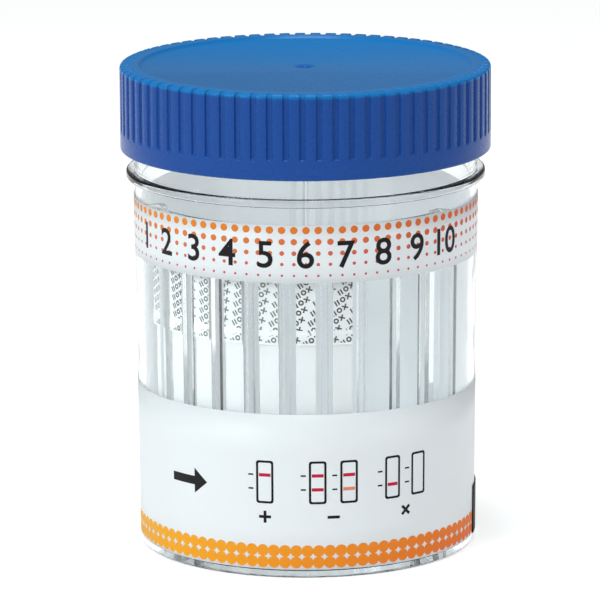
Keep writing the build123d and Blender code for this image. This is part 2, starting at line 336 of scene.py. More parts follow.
def srgb(red, green, blue):
    """Linear colour from screen values of 0 to 255."""
    def linear(value):
        value /= 255
        return value / 12.92 if value <= 0.04045 else ((value + 0.055) / 1.055) ** 2.4
    return linear(red), linear(green), linear(blue)


def clear_material(name, colour, roughness, bending, absorption):
    """Clear plastic that lets the lamps through and darkens a little with its depth."""
    material, nodes, links, shader = new_material(name)
    shader.inputs["Base Color"].default_value = (*colour, 1)
    shader.inputs["Roughness"].default_value = roughness
    shader.inputs["IOR"].default_value = bending
    shader.inputs["Transmission Weight"].default_value = 1.0
    waves = add_noise(nodes, links, 90.0, 1.0)
    add_bump(nodes, links, shader, waves, 0.15, 0.0004)
    output = nodes["Material Output"]
    see_through = nodes.new("ShaderNodeBsdfTransparent")
    see_through.inputs["Color"].default_value = (*colour, 1)
    rays = nodes.new("ShaderNodeLightPath")
    mix = nodes.new("ShaderNodeMixShader")
    links.new(rays.outputs["Is Shadow Ray"], mix.inputs[0])
    links.new(shader.outputs[0], mix.inputs[1])
    links.new(see_through.outputs[0], mix.inputs[2])
    links.new(mix.outputs[0], output.inputs["Surface"])
    depth = nodes.new("ShaderNodeVolumeAbsorption")
    depth.inputs["Color"].default_value = (*srgb(205, 218, 224), 1)
    depth.inputs["Density"].default_value = absorption
    links.new(depth.outputs[0], output.inputs["Volume"])
    return material


def plastic_material(name, colour, roughness, shift=0.05, specular=0.5):
    """Opaque plastic: faint mottling, a fine grain and a slightly uneven gloss."""
    material, nodes, links, shader = new_material(name)
    mottle = add_noise(nodes, links, 60.0, 3.0)
    darker = tuple(c * (1 - shift) for c in colour)
    lighter = tuple(min(1.0, c * (1 + shift)) for c in colour)
    shade = tint(nodes, links, spread(nodes, links, mottle, 0, 1), darker, lighter)
    links.new(shade, shader.inputs["Base Color"])
    fine = add_noise(nodes, links, GRAIN, 3.0)
    uneven(nodes, links, shader, fine, roughness)
    add_bump(nodes, links, shader, fine, GRAIN_BUMP, 0.0001)
    shader.inputs["Specular IOR Level"].default_value = specular
    return material


def lid_material(name, side, top, low, high):
    """Blue plastic with painted light: the lid's top gets a lighter, greener blue than its skirt,
    standing in for the cyan light that falls on it.
    """
    material = plastic_material(name, side, 0.28, 0.0, 0.13)
    nodes, links = material.node_tree.nodes, material.node_tree.links
    height = climb(nodes, links, split_place(nodes, links)["Z"], low, high)
    shader = nodes["Principled BSDF"]
    links.new(tint(nodes, links, height, side, top), shader.inputs["Base Color"])
    return material


def film_material(name, colour, roughness, through, glow=0.0):
    """White printing film that lets some light through, and may glow a little on its own: painted
    light, an emission standing in for light that comes through the film.
    """
    material, nodes, links, shader = new_material(name)
    shader.inputs["Base Color"].default_value = (*colour, 1)
    shader.inputs["Emission Color"].default_value = (*colour, 1)
    shader.inputs["Emission Strength"].default_value = glow
    uneven(nodes, links, shader, add_noise(nodes, links, 500.0, 3.0), roughness)
    milky = nodes.new("ShaderNodeBsdfTranslucent")
    milky.inputs["Color"].default_value = (*colour, 1)
    mix = nodes.new("ShaderNodeMixShader")
    mix.inputs[0].default_value = through
    links.new(shader.outputs[0], mix.inputs[1])
    links.new(milky.outputs[0], mix.inputs[2])
    links.new(mix.outputs[0], nodes["Material Output"].inputs["Surface"])
    return material


def fibre_material(name, colour, shift=0.05):
    """Pressed fibre pad: fine tangled bump and a dull surface."""
    material, nodes, links, shader = new_material(name)
    tangle = add_noise(nodes, links, 2500.0, 6.0)
    darker = tuple(c * (1 - shift) for c in colour)
    shade = tint(nodes, links, spread(nodes, links, tangle, 0, 1), darker, colour)
    links.new(shade, shader.inputs["Base Color"])
    shader.inputs["Roughness"].default_value = 0.9
    add_bump(nodes, links, shader, tangle, 0.4, 0.0001)
    return material


def graded_ink(name, low_left, low_right, high_left, high_right, foot, top):
    """Printing ink that runs between four colours, up the cup and across it."""
    material, nodes, links, shader = new_material(name)
    spot = split_place(nodes, links)
    across = climb(nodes, links, spot["X"], -FOOT_RADIUS, FOOT_RADIUS)
    low = tint(nodes, links, across, low_left, low_right)
    high = tint(nodes, links, across, high_left, high_right)
    mix = nodes.new("ShaderNodeMix")
    mix.data_type = "RGBA"
    links.new(climb(nodes, links, spot["Z"], foot, top), mix.inputs["Factor"])
    links.new(low, mix.inputs["A"])
    links.new(high, mix.inputs["B"])
    links.new(mix.outputs["Result"], shader.inputs["Base Color"])
    shader.inputs["Roughness"].default_value = 0.5
    shader.inputs["Specular IOR Level"].default_value = INK_SPECULAR
    return material


CLEAR = clear_material("clear_polystyrene", (0.978, 0.986, 0.988), 0.02, 1.45, 30.0)
CARRIER_CLEAR = clear_material("carrier_polystyrene", (0.98, 0.988, 0.988), 0.12, 1.3, 12.0)
# Painted light: the second blue is the lid's top, lit lighter and greener than its skirt.
BLUE = lid_material(
    "blue_polypropylene", srgb(28, 74, 150), srgb(20, 112, 180), LID_DISC - 0.4, LID_DISC
)
FOAM = fibre_material("liner_foam", srgb(238, 238, 234))
LABEL_WHITE = film_material("label_film", srgb(236, 239, 242), 0.4, 0.05)
# Painted light: the glued side's glow stands in for light that comes through the film from
# outside.
LABEL_BACK = film_material("label_back", srgb(236, 240, 242), 0.6, 0.2, 0.35)
CARD = plastic_material("backing_card", srgb(212, 214, 216), 0.5, 0.01)
PAD = fibre_material("cellulose_pad", srgb(232, 236, 234))
CONJUGATE = fibre_material("conjugate_fibre", srgb(214, 178, 186))
MEMBRANE = fibre_material("nitrocellulose", srgb(213, 215, 216), 0.02)
TAPE = plastic_material("cover_tape", srgb(216, 218, 219), 0.35, 0.01, 0.3)
BLACK_FILM = plastic_material("thermometer_film", srgb(24, 24, 28), 0.55, 0.1, 0.1)
BLACK_INK = plastic_material("black_ink", srgb(24, 22, 26), 0.5, 0.1, INK_SPECULAR)
GREY_INK = plastic_material("grey_ink", srgb(92, 98, 100), 0.5, 0.1, INK_SPECULAR)
RED_INK = plastic_material("red_ink", srgb(200, 28, 70), 0.5, 0.05, INK_SPECULAR)
SALMON_INK = plastic_material("salmon_ink", srgb(230, 138, 104), 0.5, 0.05, INK_SPECULAR)
BAND_INK = graded_ink(
    "top_band_ink", srgb(208, 88, 90), srgb(196, 74, 94),
    srgb(232, 142, 40), srgb(222, 98, 48), 57.5, 66,
)
FOOT_INK = graded_ink(
    "foot_band_ink", srgb(242, 168, 28), srgb(238, 112, 40),
    srgb(242, 170, 32), srgb(240, 120, 44), 2, 6,
)


# Cup

WALL_ROWS = (4, 20, 40, 60)
THREAD_MARGIN = 0.15
SUNK = 0.02


def make_cup():
    """Clear cup: foot ring, drafted wall, flange and threaded neck, as one closed shell."""
    ring_inner = FOOT_RADIUS - FOOT_RING
    bore = SHOULDER_RADIUS - WALL
    inner_foot = wall_radius(FLOOR_TOP, -WALL)
    beside = THREAD_ROOT_WIDTH / 2 + THREAD_MARGIN
    thread_low = THREAD_START - beside
    thread_high = THREAD_START + PITCH * THREAD_TURNS + beside
    rows = [(0, FOOT_RECESS), (ring_inner - FOOT_RECESS, FOOT_RECESS), (ring_inner, 0)]
    rows += arc((FOOT_RADIUS - FOOT_ROUND, FOOT_ROUND), FOOT_ROUND, -90, 0, 6)
    rows += [(wall_radius(z), z) for z in WALL_ROWS]
    rows += [(SHOULDER_RADIUS, SHOULDER)]
    flange = FLANGE_RADIUS - FLANGE_ROUND
    rows += arc((flange, SHOULDER + FLANGE_ROUND), FLANGE_ROUND, -90, 0, 5)
    rows += arc((flange, FLANGE_TOP - FLANGE_ROUND), FLANGE_ROUND, 0, 90, 5)
    rows += [(SHOULDER_RADIUS, FLANGE_TOP)]
    rows += [(SHOULDER_RADIUS, z) for z in np.linspace(thread_low, thread_high, 64)]
    rows += arc((SHOULDER_RADIUS - RIM_ROUND, RIM - RIM_ROUND), RIM_ROUND, 0, 90, 5)
    rows += arc((bore + RIM_ROUND, RIM - RIM_ROUND), RIM_ROUND, 90, 180, 5)
    rows += [(bore, SHOULDER)]
    rows += [(wall_radius(z, -WALL), z) for z in reversed(WALL_ROWS)]
    rows += arc((inner_foot - FOOT_ROUND, FLOOR_TOP + FOOT_ROUND), FOOT_ROUND, 0, -90, 5)
    rows += [(0, FLOOR_TOP)]
    azimuths = np.linspace(0, 360, 300, endpoint=False)

    def bend(azimuths, radius, height):
        heights = np.full(len(azimuths), height)
        radii = np.full(len(azimuths), radius)
        if radius == SHOULDER_RADIUS and thread_low <= height <= thread_high:
            radii = radii + thread_height(azimuths, height, THREAD_START, 0, THREAD_TURNS)
        return radii, heights

    vertices, faces = turned_mesh(rows, azimuths, bend)
    new_object("cup_shell", vertices, faces, [CLEAR], replaces=["cup"])


def thread_height(azimuths, height, start_height, start_azimuth, turns):
    """How far a helical ridge stands off its wall at each azimuth, with ramped ends."""
    half_root, half_crest = THREAD_ROOT_WIDTH / 2, THREAD_CREST_WIDTH / 2
    run_out = acos(1 - THREAD_DEPTH / (SHOULDER_RADIUS + THREAD_DEPTH)) / (2 * pi)
    result = np.zeros(len(azimuths))
    for lap in range(ceil(turns) + 1):
        turn = ((azimuths - start_azimuth) % 360) / 360 + lap
        off = np.abs(height - start_height - PITCH * turn)
        side = np.clip((half_root - off) / (half_root - half_crest), 0, 1)
        ends = np.clip(np.minimum(turn, turns - turn) / run_out, 0, 1)
        result = np.maximum(result, THREAD_DEPTH * side * np.sin(ends * pi / 2))
    return result


def carrier_span():
    """First and last azimuth of the strip carrier."""
    radius = wall_radius(CARRIER_FOOT, -(WALL + CARRIER_GAP + CHANNEL_DEPTH))
    rib = arc_degrees(RIB_WIDTH, radius)
    first = FIRST_CHANNEL - CHANNEL_PITCH / 2 - rib / 2
    return first, first + CHANNEL_PITCH * CHANNELS + rib


def make_rails():
    """Two L-shaped rails moulded inside the cup, one at each side edge of the carrier."""
    lip = -(WALL + CARRIER_GAP + CHANNEL_DEPTH + CARRIER_PLATE + CARRIER_GAP)
    fin = lip - RAIL
    wall = -WALL - SUNK
    radius = wall_radius(FLOOR_TOP, lip)
    gap = arc_degrees(CARRIER_GAP, radius)
    thick = arc_degrees(RAIL, radius)
    reach = arc_degrees(RAIL_LIP, radius)
    for name, edge, side in zip(("left", "right"), carrier_span(), (-1, 1)):
        near, far, tip = edge + side * gap, edge + side * (gap + thick), edge - side * reach
        loop = [(tip, lip), (near, lip), (near, wall), (far, wall), (far, fin), (tip, fin)]
        if side < 0:
            loop.reverse()
        vertices, faces = lofted_mesh([(z, loop) for z in (FLOOR_TOP + SUNK, CARRIER_TOP)])
        new_object(f"cup_rail_{name}", vertices, faces, [CLEAR])


# Lid

def groove(azimuths):
    """How much of a flute's depth lies under each azimuth, from 0 on a ridge to 1 in a groove."""
    step = 360 / FLUTES
    off = np.abs((azimuths - FLUTE_PHASE + step / 2) % step - step / 2)
    off = np.radians(off) * LID_RADIUS
    return 1 - ramp(off, FLUTE_FLOOR / 2, FLUTE_MOUTH / 2)


def flute_azimuths():
    """Azimuths round the lid, packed where the flutes' sides are."""
    half = degrees(FLUTE_MOUTH / 2 / LID_RADIUS)
    floor = degrees(FLUTE_FLOOR / 2 / LID_RADIUS)
    side = np.linspace(floor * 0.94, half * 1.03, 6)
    one = np.concatenate([-side[::-1], [0], side, [180 / FLUTES]])
    step = 360 / FLUTES
    return np.concatenate([FLUTE_PHASE + step * n + one for n in range(FLUTES)])


def make_lid():
    """Screw lid as one closed shell: fluted skirt, notched top edge, recessed disc, gate mark."""
    recess = LID_RADIUS - LID_RING_WIDTH
    edge = LID_RADIUS - LID_TOP_ROUND
    band = LID_FOOT + FLUTE_BAND
    notch_inner = LID_RADIUS - NOTCH_LENGTH
    ball = (GATE_RADIUS**2 + GATE_DEPTH**2) / (2 * GATE_DEPTH)
    bottom = LID_DISC - GATE_DEPTH
    nub_top = bottom + GATE_NUB_HEIGHT
    dimple = [(r, bottom + ball - (ball**2 - r**2) ** 0.5) for r in (2.0, 1.7, 1.2, 0.7)]
    foot_outer = LID_RADIUS - LID_FOOT_ROUND
    foot_inner = LID_BORE + LID_FOOT_ROUND
    foot_centre = LID_FOOT + LID_FOOT_ROUND
    rows = [(0, LID_UNDERSIDE), (LID_BORE - 0.2, LID_UNDERSIDE), (LID_BORE, LID_UNDERSIDE - 0.2)]
    rows += [(LID_BORE, LID_FOOT + 8)]
    rows += arc((foot_inner, foot_centre), LID_FOOT_ROUND, 180, 270, 4)
    rows += arc((foot_outer, foot_centre), LID_FOOT_ROUND, 270, 360, 5)
    rows += [(LID_RADIUS, z) for z in np.linspace(band - 0.35, band + 0.45, 7)]
    rows += [(LID_RADIUS, LID_TOP - 4), (LID_RADIUS, LID_TOP - 1.2)]
    rows += arc((edge, LID_TOP - LID_TOP_ROUND), LID_TOP_ROUND, 0, 90, 8)
    rows += [(r, LID_TOP) for r in np.linspace(edge - 0.2, notch_inner - 0.1, 7)]
    rows += arc((recess + RECESS_ROUND, LID_TOP - RECESS_ROUND), RECESS_ROUND, 90, 150, 3)
    slope_foot = recess - RECESS_SLOPE
    rows += [(slope_foot + 0.05, LID_DISC + 0.08), (slope_foot - 0.1, LID_DISC)]
    rows += [(GATE_RADIUS + 0.25, LID_DISC), (GATE_RADIUS + 0.02, LID_DISC - 0.02)]
    rows += dimple
    rows += [(GATE_NUB_RADIUS + 0.05, bottom + 0.03), (GATE_NUB_RADIUS, nub_top - 0.1)]
    rows += [(GATE_NUB_RADIUS - 0.12, nub_top), (0, nub_top)]
    azimuths = flute_azimuths()
    depth = groove(azimuths)

    def bend(azimuths, radius, height):
        radii = np.full(len(azimuths), radius)
        heights = np.full(len(azimuths), height)
        if radius > notch_inner and height > band - 0.5:
            side = depth * ramp(height, band - 0.2, band + 0.4)
            radii = np.minimum(radii, LID_RADIUS - FLUTE_DEPTH * side)
            over = depth * np.clip((radii - notch_inner) / (NOTCH_LENGTH - FLUTE_DEPTH), 0, 1)
            heights = np.minimum(heights, LID_TOP - NOTCH_DEPTH * over)
        return radii, heights

    vertices, faces = turned_mesh(rows, azimuths, bend)
    new_object("lid_shell", vertices, faces, [BLUE], "lid", 50.0, ["lid"])
    make_lid_thread()


def make_lid_thread():
    """Helical ridge inside the lid's skirt, with ends that ramp into the wall."""
    steps = 120
    corners = 6
    sunk = 0.2
    run_out = 0.04
    half_root, half_crest = THREAD_ROOT_WIDTH / 2, THREAD_CREST_WIDTH / 2
    vertices = []
    for step in range(steps + 1):
        turn = LID_THREAD_TURNS * step / steps
        ends = min(1.0, turn / run_out, (LID_THREAD_TURNS - turn) / run_out)
        crest = LID_BORE - THREAD_DEPTH * max(0.02, sin(ends * pi / 2))
        azimuth = LID_THREAD_AZIMUTH + 360 * turn
        height = LID_THREAD_START + PITCH * turn
        for radius, off in (
            (LID_BORE + sunk, -half_root),
            (LID_BORE, -half_root),
            (crest, -half_crest),
            (crest, half_crest),
            (LID_BORE, half_root),
            (LID_BORE + sunk, half_root),
        ):
            vertices.append(place(azimuth, radius, height + off))
    last = steps * corners
    faces = [tuple(range(corners)), tuple(reversed(range(last, last + corners)))]
    for base in range(0, last, corners):
        for i in range(corners):
            j = (i + 1) % corners
            faces.append((base + j, base + i, base + corners + i, base + corners + j))
    new_object("lid_thread", vertices, faces, [BLUE], "lid")


# Strip carrier

def make_carrier():
    """Clear curved plate with ten channels between slim ribs that widen at both ends."""
    rib_face = -(WALL + CARRIER_GAP)
    floor = rib_face - CHANNEL_DEPTH
    back = floor - CARRIER_PLATE
    radius = wall_radius(CARRIER_FOOT, floor)
    slim = arc_degrees(RIB_WIDTH, radius)
    wide = CHANNEL_PITCH - arc_degrees(STRIP_SLOT, radius)
    first, last = carrier_span()

    def section(width):
        loop = []
        for rib in range(CHANNELS + 1):
            centre = FIRST_CHANNEL + CHANNEL_PITCH * (rib - 0.5)
            left = first if rib == 0 else centre - width / 2
            right = last if rib == CHANNELS else centre + width / 2
            if rib:
                start = FIRST_CHANNEL + CHANNEL_PITCH * (rib - 1.5) + width / 2
                loop += [(a, floor) for a in np.linspace(start, left, 6)[1:]]
            loop += [(left, rib_face), (right, rib_face)]
            if rib < CHANNELS:
                loop.append((right, floor))
        loop += [(a, back) for a in np.linspace(last, first, 90)]
        return loop

    foot_end = CARRIER_FOOT + RIB_HEAD
    head_start = CARRIER_TOP - RIB_HEAD
    levels = [
        (CARRIER_FOOT, section(wide)),
        (foot_end, section(wide)),
        (foot_end + 0.05, section(slim)),
        (head_start - 0.05, section(slim)),
        (head_start, section(wide)),
        (CARRIER_TOP, section(wide)),
    ]
    vertices, faces = lofted_mesh(levels)
    new_object(
        "carrier_shell", vertices, faces, [CARRIER_CLEAR], sharp=30.0,
        replaces=["strip_carrier"],
    )


# Label

def make_label():
    """Wraparound label film with its window, white outside; its glued side glows a little, painted
    light standing in for light that comes through the film.
    """
    corner = degrees(WINDOW_CORNER / wall_radius(WINDOW_FOOT))
    straight = WINDOW_HALF_ANGLE - corner
    side = list(np.linspace(WINDOW_HALF_ANGLE, LABEL_HALF_ANGLE, 70))
    curve = [straight + corner * sin(t) for t in np.linspace(0, pi / 2, 9)[1:-1]]
    middle = list(np.linspace(-straight, straight, 160))
    right = curve + side
    azimuths = [-a for a in reversed(right)] + middle + right
    columns = []
    for azimuth in azimuths:
        past = min(max(abs(azimuth) - straight, 0) / corner, 1)
        inset = WINDOW_CORNER * (1 - (1 - past**2) ** 0.5)
        low, high = WINDOW_FOOT + inset, WINDOW_TOP - inset
        below, beside = np.linspace(LABEL_FOOT, low, 5), np.linspace(low, high, 4)[1:-1]
        heights = np.concatenate([below, beside, np.linspace(high, LABEL_TOP, 4)])
        columns.append([place(azimuth, wall_radius(z, LABEL_FACE), z) for z in heights])
    count = len(columns[0])
    window_foot, window_top = 4, 7
    vertices = [point for column in columns for point in column]
    faces = []
    for c in range(len(columns) - 1):
        open_here = abs(azimuths[c] + azimuths[c + 1]) / 2 < WINDOW_HALF_ANGLE
        for r in range(count - 1):
            if open_here and window_foot <= r < window_top:
                continue
            a = c * count + r
            faces.append((a, a + count, a + count + 1, a + 1))
    piece = new_object(
        "label_sheet", vertices, faces, [LABEL_WHITE, LABEL_BACK],
        replaces=["label"],
    )
    drop_loose(piece.data)
    thick = piece.modifiers.new("thickness", "SOLIDIFY")
    thick.thickness = LABEL_THICKNESS * MM
    thick.offset = -1
    thick.material_offset = 1


def drop_loose(mesh):
    """Deletes points that no face uses."""
    work = bmesh.new()
    work.from_mesh(mesh)
    bmesh.ops.delete(work, geom=[v for v in work.verts if not v.link_faces], context="VERTS")
    work.to_mesh(mesh)
    work.free()


def make_thermometer():
    """Black temperature strip round the right side, stuck on the label's foot."""
    inner = LABEL_FACE + THERMO_GLUE
    outer = inner + THERMO_THICKNESS
    angle = degrees(THERMO_LENGTH / wall_radius(THERMO_FOOT, inner))
    turns = np.linspace(THERMO_START, THERMO_START + angle, 60)
    loop = [(a, inner) for a in turns[::-1]] + [(a, outer) for a in turns]
    levels = [(z, loop) for z in (THERMO_FOOT, THERMO_FOOT + THERMO_HEIGHT)]
    vertices, faces = lofted_mesh(levels)
    new_object(
        "thermometer_film", vertices, faces, [BLACK_FILM],
        replaces=["thermometer_strip"],
    )


# Print: flat outlines in millimetres of arc and height, wrapped onto the label as thin ink

PRINT_RADIUS = 31.9
BEND_STEP = 0.8
SAME_POINT = 0.0005


def circle(across, up, radius, steps=20):
    """Closed outline of a circle."""
    turns = np.linspace(0, 2 * pi, steps, endpoint=False)
    return [(across + radius * cos(t), up + radius * sin(t)) for t in turns]


def rounded_box(left, right, foot, top, corner, steps=4):
    """Closed outline of a box with rounded corners."""
    points = []
    for x, y, start in (
        (right - corner, foot + corner, -90),
        (right - corner, top - corner, 0),
        (left + corner, top - corner, 90),
        (left + corner, foot + corner, 180),
    ):
        points += arc((x, y), corner, start, start + 90, steps)
    return points


def stroke(start, end, width):
    """Straight bar between two points, with square ends."""
    (x0, y0), (x1, y1) = start, end
    length = ((x1 - x0) ** 2 + (y1 - y0) ** 2) ** 0.5
    nx, ny = -(y1 - y0) / length * width / 2, (x1 - x0) / length * width / 2
    return [(x0 + nx, y0 + ny), (x0 - nx, y0 - ny), (x1 - nx, y1 - ny), (x1 + nx, y1 + ny)]


def take_mesh(work, name, curve, x=0, y=0):
    """Adds a curve's filled shape to a mesh, moved by x and y, and deletes the curve."""
    source = bpy.data.objects.new(name, curve)
    mesh = bpy.data.meshes.new_from_object(source)
    mesh.transform(Matrix.Translation((x, y, 0)))
    work.from_mesh(mesh)
    bpy.data.meshes.remove(mesh)
    bpy.data.objects.remove(source)
    bpy.data.curves.remove(curve)


def flat_ink(name, outlines):
    """Flat filled mesh from closed outlines, from -0.5 to 0.5 in depth."""
    curve = bpy.data.curves.new(name, "CURVE")
    curve.dimensions = "2D"
    curve.fill_mode = "BOTH"
    for outline in outlines:
        spline = curve.splines.new("POLY")
        spline.points.add(len(outline) - 1)
        for point, (x, y) in zip(spline.points, outline):
            point.co = (x, y, 0, 1)
        spline.use_cyclic_u = True
    curve.extrude = 0.5
    work = bmesh.new()
    take_mesh(work, name, curve)
    bmesh.ops.remove_doubles(work, verts=work.verts, dist=SAME_POINT)
    return work


def flat_numbers(name, texts):
    """Flat filled mesh from (text, x, y) numbers, from -0.5 to 0.5 in depth."""
    work = bmesh.new()
    for text, x, y in texts:
        letters = bpy.data.curves.new(name, "FONT")
        letters.body = text
        letters.size = NUMBER_SIZE
        letters.align_x = "CENTER"
        letters.extrude = 0.5
        letters.offset = NUMBER_SIZE * 0.012
        letters.resolution_u = 6
        take_mesh(work, name, letters, x, y)
    bmesh.ops.remove_doubles(work, verts=work.verts, dist=SAME_POINT)
    return work


def ink_piece(name, work, material):
    """Makes a piece of the cup from a mesh of ink that lies in place."""
    mesh = bpy.data.meshes.new(name)
    work.to_mesh(mesh)
    work.free()
    piece = linked(name, mesh)
    finish_mesh(mesh, [material], SHARP)
    settle(piece, "cup")


def cut_through(work, point, normal, clear=False):
    """Cuts a mesh along a plane, and deletes what lies beyond it if asked to."""
    everything = work.verts[:] + work.edges[:] + work.faces[:]
    return bmesh.ops.bisect_plane(
        work, geom=everything, dist=1e-5, plane_co=point, plane_no=normal, clear_outer=clear
    )


def wrapped_ink(name, work, material, outward):
    """Bends a flat mesh of (arc, height, depth) round the cup and makes it a piece."""
    lows = [v.co.x for v in work.verts]
    for cut in np.arange(min(lows) + BEND_STEP / 2, max(lows), BEND_STEP):
        cut_through(work, (cut, 0, 0), (1, 0, 0))
    for vertex in work.verts:
        across, up, depth = vertex.co
        lift = outward + INK_LIFT + INK_THICKNESS * (depth + 0.5)
        vertex.co = place(degrees(across / PRINT_RADIUS), wall_radius(up, lift), up)
    ink_piece(name, work, material)


DOT_PITCH = 2.2
BAND_DOTS = ((65.85, 1.36), (63.7, 1.17), (61.55, 0.88), (59.5, 0.64), (57.4, 0.46))
FOOT_DOT_PITCH = 2.1
FOOT_DOTS = (5.29, 3.11)
FOOT_DOT_RADIUS = 1.12
SEAM_MARGIN = 1.6


def dot_places(pitch):
    """Arc positions of a row of dots all round the label, clear of its seam."""
    half = PRINT_RADIUS * pi - SEAM_MARGIN
    count = int(half / pitch)
    return [pitch * n for n in range(-count, count + 1)]


def make_bands():
    """Rows of shrinking dots along the top, and two rows of touching dots along the foot."""
    outlines = []
    for height, size in BAND_DOTS:
        for across in dot_places(DOT_PITCH):
            outlines.append(circle(across, height, size / 2))
    wrapped_ink("label_top_dots", flat_ink("top_dots", outlines), BAND_INK, LABEL_FACE)
    wrapped_ink("label_foot_dots", flat_ink("foot_dots", merged_dots()), FOOT_INK, LABEL_FACE)


def merged_dots():
    """Outlines of two rows of overlapping dots: the scalloped rim, and the stars between them."""
    upper, lower = FOOT_DOTS
    places = dot_places(FOOT_DOT_PITCH)
    across = degrees(acos(FOOT_DOT_PITCH / 2 / FOOT_DOT_RADIUS))
    beside = degrees(asin((upper - lower) / 2 / FOOT_DOT_RADIUS))
    rim = []
    for x in reversed(places):
        rim += arc((x, upper), FOOT_DOT_RADIUS, across, 180 - across, 12)
    for x in places:
        rim += arc((x, lower), FOOT_DOT_RADIUS, 180 + across, 360 - across, 12)
    outlines = [rim]
    for left, right in zip(places, places[1:]):
        star = arc((left, upper), FOOT_DOT_RADIUS, -across, -beside, 5)[:-1]
        star += arc((left, lower), FOOT_DOT_RADIUS, beside, across, 5)[:-1]
        star += arc((right, lower), FOOT_DOT_RADIUS, 180 - across, 180 - beside, 5)[:-1]
        star += arc((right, upper), FOOT_DOT_RADIUS, 180 + beside, 180 + across, 5)[:-1]
        outlines.append(star)
    return outlines


# Result key: five small windows with their lines
KEY_BOXES = ((-9.56, -6.26), (0.31, 3.58), (6.14, 9.49), (14.95, 18.15), (20.75, 24.0))
KEY_FOOT = 14.25
KEY_TOP = 22.4
KEY_LINE = 0.42
KEY_CORNER = 0.5
UPPER_LINE = 19.65
LOWER_LINE = 17.0
LINE_THICK = 0.62
TICK = (0.95, 0.3)
TICK_GAP = 0.55
SIGN_HEIGHT = 11.7
SIGN_SIZE = 2.3
SIGN_THICK = 0.55
ARROW_FOOT = 14.6
ARROW_TOP = 19.4
ARROW_LEFT = -28.5
ARROW_RIGHT = -19.8


def make_key():
    """The result key, its words given as plain signs: an arrow, a plus, a minus and a cross."""
    outlines = []
    for left, right in KEY_BOXES:
        outlines.append(rounded_box(left, right, KEY_FOOT, KEY_TOP, KEY_CORNER))
        inset = KEY_LINE
        inner_foot, inner_top = KEY_FOOT + inset, KEY_TOP - inset
        inner_corner = KEY_CORNER - inset / 2
        outlines.append(
            rounded_box(left + inset, right - inset, inner_foot, inner_top, inner_corner)
        )
        for height in (UPPER_LINE, LOWER_LINE):
            end = left - TICK_GAP
            outlines.append(stroke((end - TICK[0], height), (end, height), TICK[1]))
    plus = (KEY_BOXES[0][0] + KEY_BOXES[0][1]) / 2
    minus = (KEY_BOXES[1][0] + KEY_BOXES[2][1]) / 2
    cross = (KEY_BOXES[3][0] + KEY_BOXES[4][1]) / 2
    half = SIGN_SIZE / 2
    outlines.append(plus_outline(plus, SIGN_HEIGHT, half, SIGN_THICK, 0))
    outlines.append(stroke((minus - half, SIGN_HEIGHT), (minus + half, SIGN_HEIGHT), SIGN_THICK))
    outlines.append(plus_outline(cross, SIGN_HEIGHT, half, SIGN_THICK, 45))
    outlines.append(arrow_outline())
    wrapped_ink("label_key_black", flat_ink("key", outlines), BLACK_INK, LABEL_FACE)
    red = [line_outline(box, UPPER_LINE) for box in (0, 1, 2)]
    red += [line_outline(box, LOWER_LINE) for box in (1, 3)]
    wrapped_ink("label_key_red", flat_ink("key_red", red), RED_INK, LABEL_FACE)
    salmon = flat_ink("key_salmon", [line_outline(2, LOWER_LINE)])
    wrapped_ink("label_key_salmon", salmon, SALMON_INK, LABEL_FACE)


def line_outline(box, height):
    """Result line across one of the key's windows."""
    left, right = KEY_BOXES[box]
    inset = KEY_LINE + 0.12
    return stroke((left + inset, height), (right - inset, height), LINE_THICK)


def plus_outline(x, y, half, thick, turn):
    """Twelve-cornered plus sign, turned by some degrees."""
    t = thick / 2
    corners = [
        (half, -t), (half, t), (t, t), (t, half), (-t, half), (-t, t),
        (-half, t), (-half, -t), (-t, -t), (-t, -half), (t, -half), (t, -t),
    ]
    c, s = cos(radians(turn)), sin(radians(turn))
    return [(x + a * c - b * s, y + a * s + b * c) for a, b in corners]


def arrow_outline():
    """Broad arrow that points at the key."""
    middle = (ARROW_FOOT + ARROW_TOP) / 2
    shaft = (ARROW_TOP - ARROW_FOOT) * 0.17
    neck = ARROW_RIGHT - (ARROW_TOP - ARROW_FOOT) * 0.62
    return [
        (ARROW_LEFT, middle - shaft), (neck, middle - shaft), (neck, ARROW_FOOT),
        (ARROW_RIGHT, middle),
        (neck, ARROW_TOP), (neck, middle + shaft), (ARROW_LEFT, middle + shaft),
    ]


NUMBER_SIZE = 7.0
NUMBER_FOOT = 58.9


def make_channel_numbers():
    """Plain numbers on the top band, one over each channel of the carrier."""
    texts = []
    for channel in range(CHANNELS):
        across = radians(FIRST_CHANNEL + CHANNEL_PITCH * channel) * PRINT_RADIUS
        texts.append((str(channel + 1), across, NUMBER_FOOT))
    work = flat_numbers("numbers", texts)
    wrapped_ink("label_numbers", work, BLACK_INK, LABEL_FACE + INK_THICKNESS)


# Test strips

STRIP_FOOT = 4.45
TAPE_START = 39.8
PAD_LEVEL = 41.5
TAPE_END = 60.0
TAPE_FACE = 0.9
TAPE_STEP = 0.15
TAPE_MARGIN = 0.05
SIGN_ROW_PITCH = 1.4
SIGN_LEAN = 31.0
SIGN_HALF = 0.52
SIGN_STROKE = 0.29
SIGN_PITCH = 1.2
SIGNS_IN_GROUP = 3
SIGN_ROWS = (-3, 20)
SIGN_COLUMNS = (-8, 16)
GREY_TAPES = (1, 3, 4, 5)


def make_strips():
    """Gives the strips' layers their materials."""
    looks = {
        "backing_card": CARD, "sample_pad": PAD, "conjugate_pad": CONJUGATE,
        "membrane": MEMBRANE, "absorbent_pad": PAD, "cover_tape": TAPE,
    }
    for number in range(1, STRIPS + 1):
        for layer, material in looks.items():
            dress(f"strip_{number}_{layer}", material)


